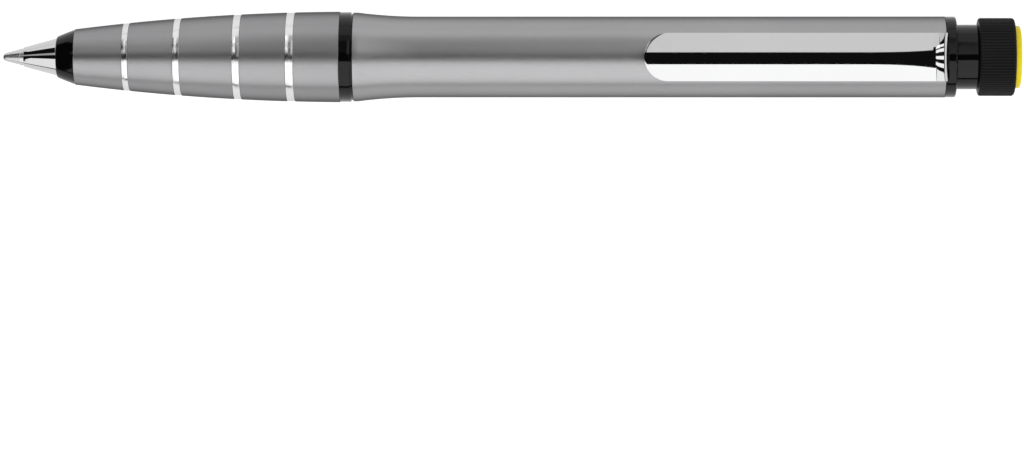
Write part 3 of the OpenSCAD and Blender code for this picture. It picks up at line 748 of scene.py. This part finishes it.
lamp("key_front", 13, KEY_MIDDLE, FRONT_END, GRIP_END, 1.5)
lamp("key_front_low", KEY_MIDDLE, KEY_END, -1.05, GRIP_END, 1.5)
lamp("key", 11.5, KEY_LOW, GRIP_END, 0.45, 1.9)
lamp("key_low", KEY_LOW, KEY_END, GRIP_END, REAR_END, 1.7)
lamp("side_low", SIDE_LOW, SIDE_END, -0.97, REAR_END, 1.25)
lamp("side", SIDE_MIDDLE, SIDE_LOW, GRIP_END, REAR_END, 1.2)
lamp("side_upper", SIDE_UPPER, SIDE_MIDDLE, -0.6, BEND_FRONT, 0.55)
lamp("side_top", SIDE_TOP, SIDE_UPPER, GRIP_END, CLIP_FRONT, 0.15)
lamp("ring_panel", -13, SIDE_MIDDLE, -0.44, -0.28, 1.7)
lamp("nose_line", -13, -27, -1.25, GRIP_END, 0.6)
lamp("clip_panel", -7.4, SIDE_UPPER, CLIP_FRONT, BEND_FRONT, 1.15)
lamp("bend_panel", -10.5, -60, BEND_FRONT, 1.1, 1.12)
panel("end_low", (0.5, -0.41, 1.0), (1.25, -0.41, 0.15), (0, 1, 0), 0.36, 1.6)
panel("end_high", (1.0, 0.6, 0.85), (1.3, 0.6, 0.15), (0, 1, 0), 0.6, 1.0)

# Narrow lamps, as (y, width), that the clip's bend mirrors as a comb
LOUVRES = [(0.178, 0.04), (0.106, 0.05), (-0.011, 0.054), (-0.131, 0.062)]
for number, (y, width) in enumerate(LOUVRES, 1):
    panel(f"louvre_{number}", (0.36, y, 1.15), (1.18, y, 0.21), (0, 1, 0), width, 1.8)


# Pale floor, which also shows white to the camera and in glossy and clear surfaces

FLOOR_GAP = 0.02
FLOOR_RADIUS_M = 3
FLOOR_SIDES = 96
FLOOR_COLOUR = (0.4, 0.4, 0.4, 1)
FLOOR_GLOW = 0.87

bm = bmesh.new()
bmesh.ops.create_circle(bm, cap_ends=True, segments=FLOOR_SIDES, radius=FLOOR_RADIUS_M)
floor = finish_mesh("floor", bm, weighted=False)
floor.location.z = cad_box[0].z - FLOOR_GAP * MM
pale, nt, bsdf = new_material("pale_floor")
bsdf.inputs["Base Color"].default_value = FLOOR_COLOUR
bsdf.inputs["Roughness"].default_value = 0.9
bsdf.inputs["Specular IOR Level"].default_value = 0.0
ray = nt.nodes.new("ShaderNodeLightPath")
seen = ray.outputs["Is Camera Ray"]
for kind in ("Is Glossy Ray", "Is Transmission Ray"):
    either = nt.nodes.new("ShaderNodeMath")
    either.operation = "MAXIMUM"
    nt.links.new(seen, either.inputs[0])
    nt.links.new(ray.outputs[kind], either.inputs[1])
    seen = either.outputs[0]
glow = nt.nodes.new("ShaderNodeMath")
glow.operation = "MULTIPLY"
glow.inputs[1].default_value = FLOOR_GLOW
nt.links.new(seen, glow.inputs[0])
bsdf.inputs["Emission Color"].default_value = (1, 1, 1, 1)
nt.links.new(glow.outputs[0], bsdf.inputs["Emission Strength"])
floor.data.materials.append(pale)


# World: a white horizon under a dark studio ceiling. Heights are the Z part of the direction.

HORIZON_LOW, HORIZON_HIGH = 0.03, 0.09
HORIZON_GLOW = 1.0
CEILING_GLOW = 0.008

world = bpy.data.worlds.new("studio")
bpy.context.scene.world = world
world.use_nodes = True
nt = world.node_tree
background = nt.nodes["Background"]
background.inputs["Color"].default_value = (1, 1, 1, 1)
direction = nt.nodes.new("ShaderNodeTexCoord")
split = nt.nodes.new("ShaderNodeSeparateXYZ")
nt.links.new(direction.outputs["Generated"], split.inputs[0])
height = nt.nodes.new("ShaderNodeMapRange")
height.interpolation_type = "SMOOTHSTEP"
height.inputs["From Min"].default_value = HORIZON_LOW
height.inputs["From Max"].default_value = HORIZON_HIGH
height.inputs["To Min"].default_value = HORIZON_GLOW
height.inputs["To Max"].default_value = CEILING_GLOW
nt.links.new(split.outputs["Z"], height.inputs["Value"])
nt.links.new(height.outputs["Result"], background.inputs["Strength"])


# Camera straight above the pen, aimed so that the pen lies near the top of the picture

CAMERA_HEIGHT = 605
CAMERA_X = 8.89
AIM_X = -2.55
AIM_DOWN_DEG = 2.086
SENSOR_WIDTH = 36
LENS = 163.6
CLIP_START_M = 0.01

camera_data = bpy.data.cameras.new("camera")
camera_data.sensor_width = SENSOR_WIDTH
camera_data.lens = LENS
camera_data.clip_start = CLIP_START_M
camera = bpy.data.objects.new("camera", camera_data)
camera.location = (CAMERA_X * MM, 0, CAMERA_HEIGHT * MM)
camera.rotation_euler = (math.radians(-AIM_DOWN_DEG), math.atan2(CAMERA_X - AIM_X, CAMERA_HEIGHT), 0)
bpy.context.scene.collection.objects.link(camera)
bpy.context.scene.camera = camera
bpy.context.scene.view_settings.view_transform = "Standard"
